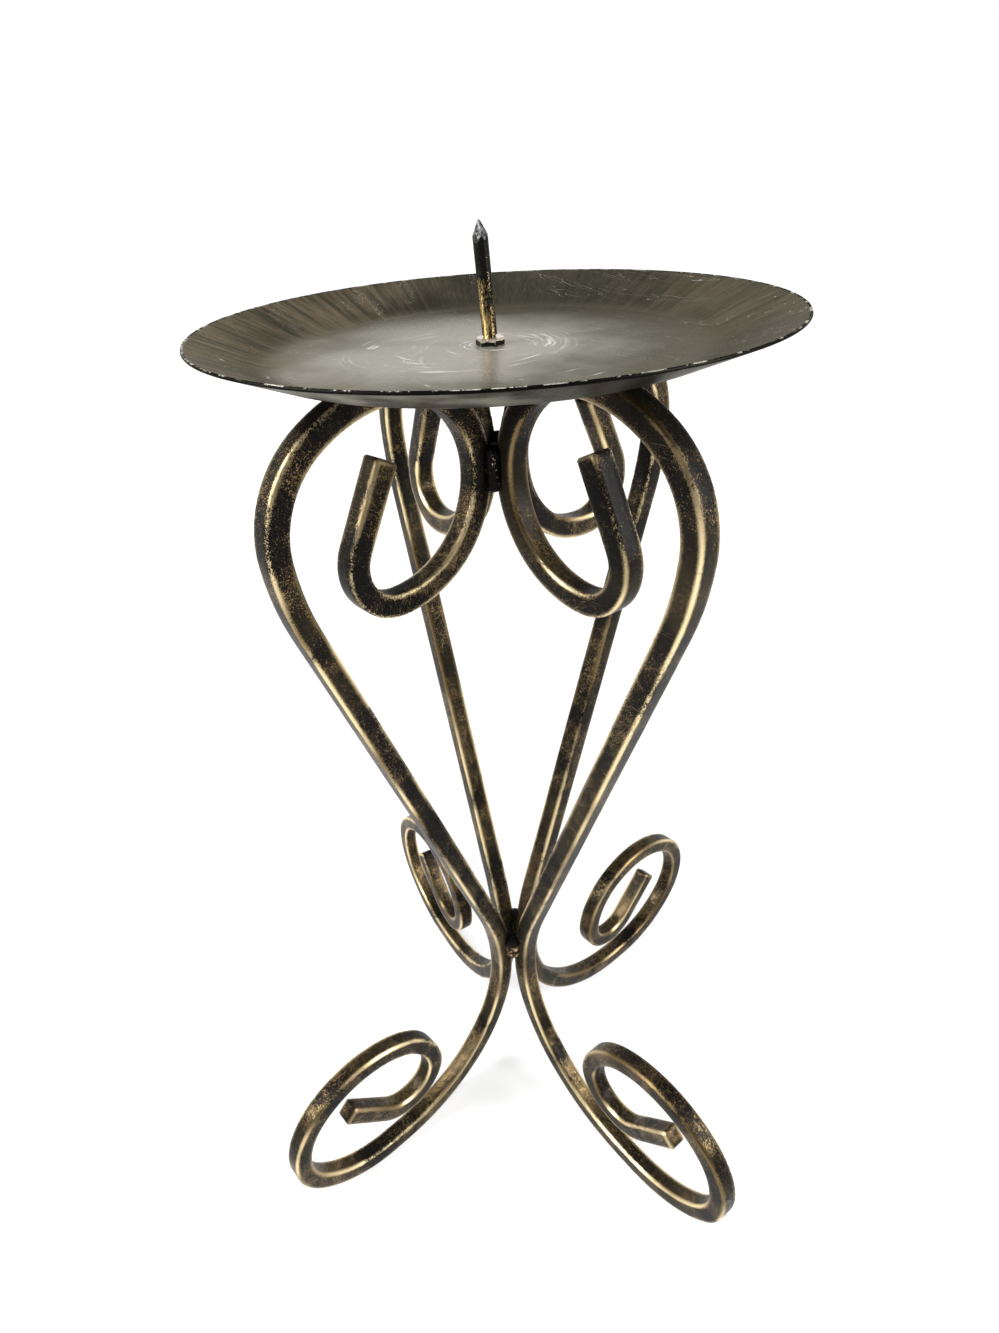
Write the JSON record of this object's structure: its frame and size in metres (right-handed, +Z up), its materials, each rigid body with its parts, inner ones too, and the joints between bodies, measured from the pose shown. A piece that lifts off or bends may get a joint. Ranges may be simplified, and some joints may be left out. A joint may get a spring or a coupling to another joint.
{
  "type": "pricket candle stand",
  "caption": "Welded scroll-work pricket candle stand of square steel bar, with a round drip dish and a nutted spike for a pillar candle.",
  "frame": {"origin": "on the stand's axis at floor level", "axes": "+Z up along the stand's axis, through the nut; +X out along the front right scroll"},
  "size_m": [0.2015, 0.2022, 0.298],
  "materials": {
    "bronzed_bar": "black paint rubbed with bronze along the edges, satin",
    "dish_metal": "dark gunmetal paint, brushed, with a bronze tint at the rim, satin",
    "spike_metal": "black paint rubbed with bronze, bare steel at the point",
    "nut_metal": "bronzed, bright on its bevel",
    "weld_metal": "painted over with the bars, lumpy, with a little bronze rubbed on the high spots"
  },
  "bodies": {
    "root": {"scroll_bar_front_right": "bronzed_bar", "scroll_bar_back_right": "bronzed_bar", "scroll_bar_back_left": "bronzed_bar", "scroll_bar_front_left": "bronzed_bar", "drip_dish": "dish_metal", "pricket_spike": "spike_metal", "pricket_nut": "nut_metal", "waist_welds": "weld_metal", "spiral_welds": "weld_metal", "dish_welds": "weld_metal"}
  },
  "joints": []
}
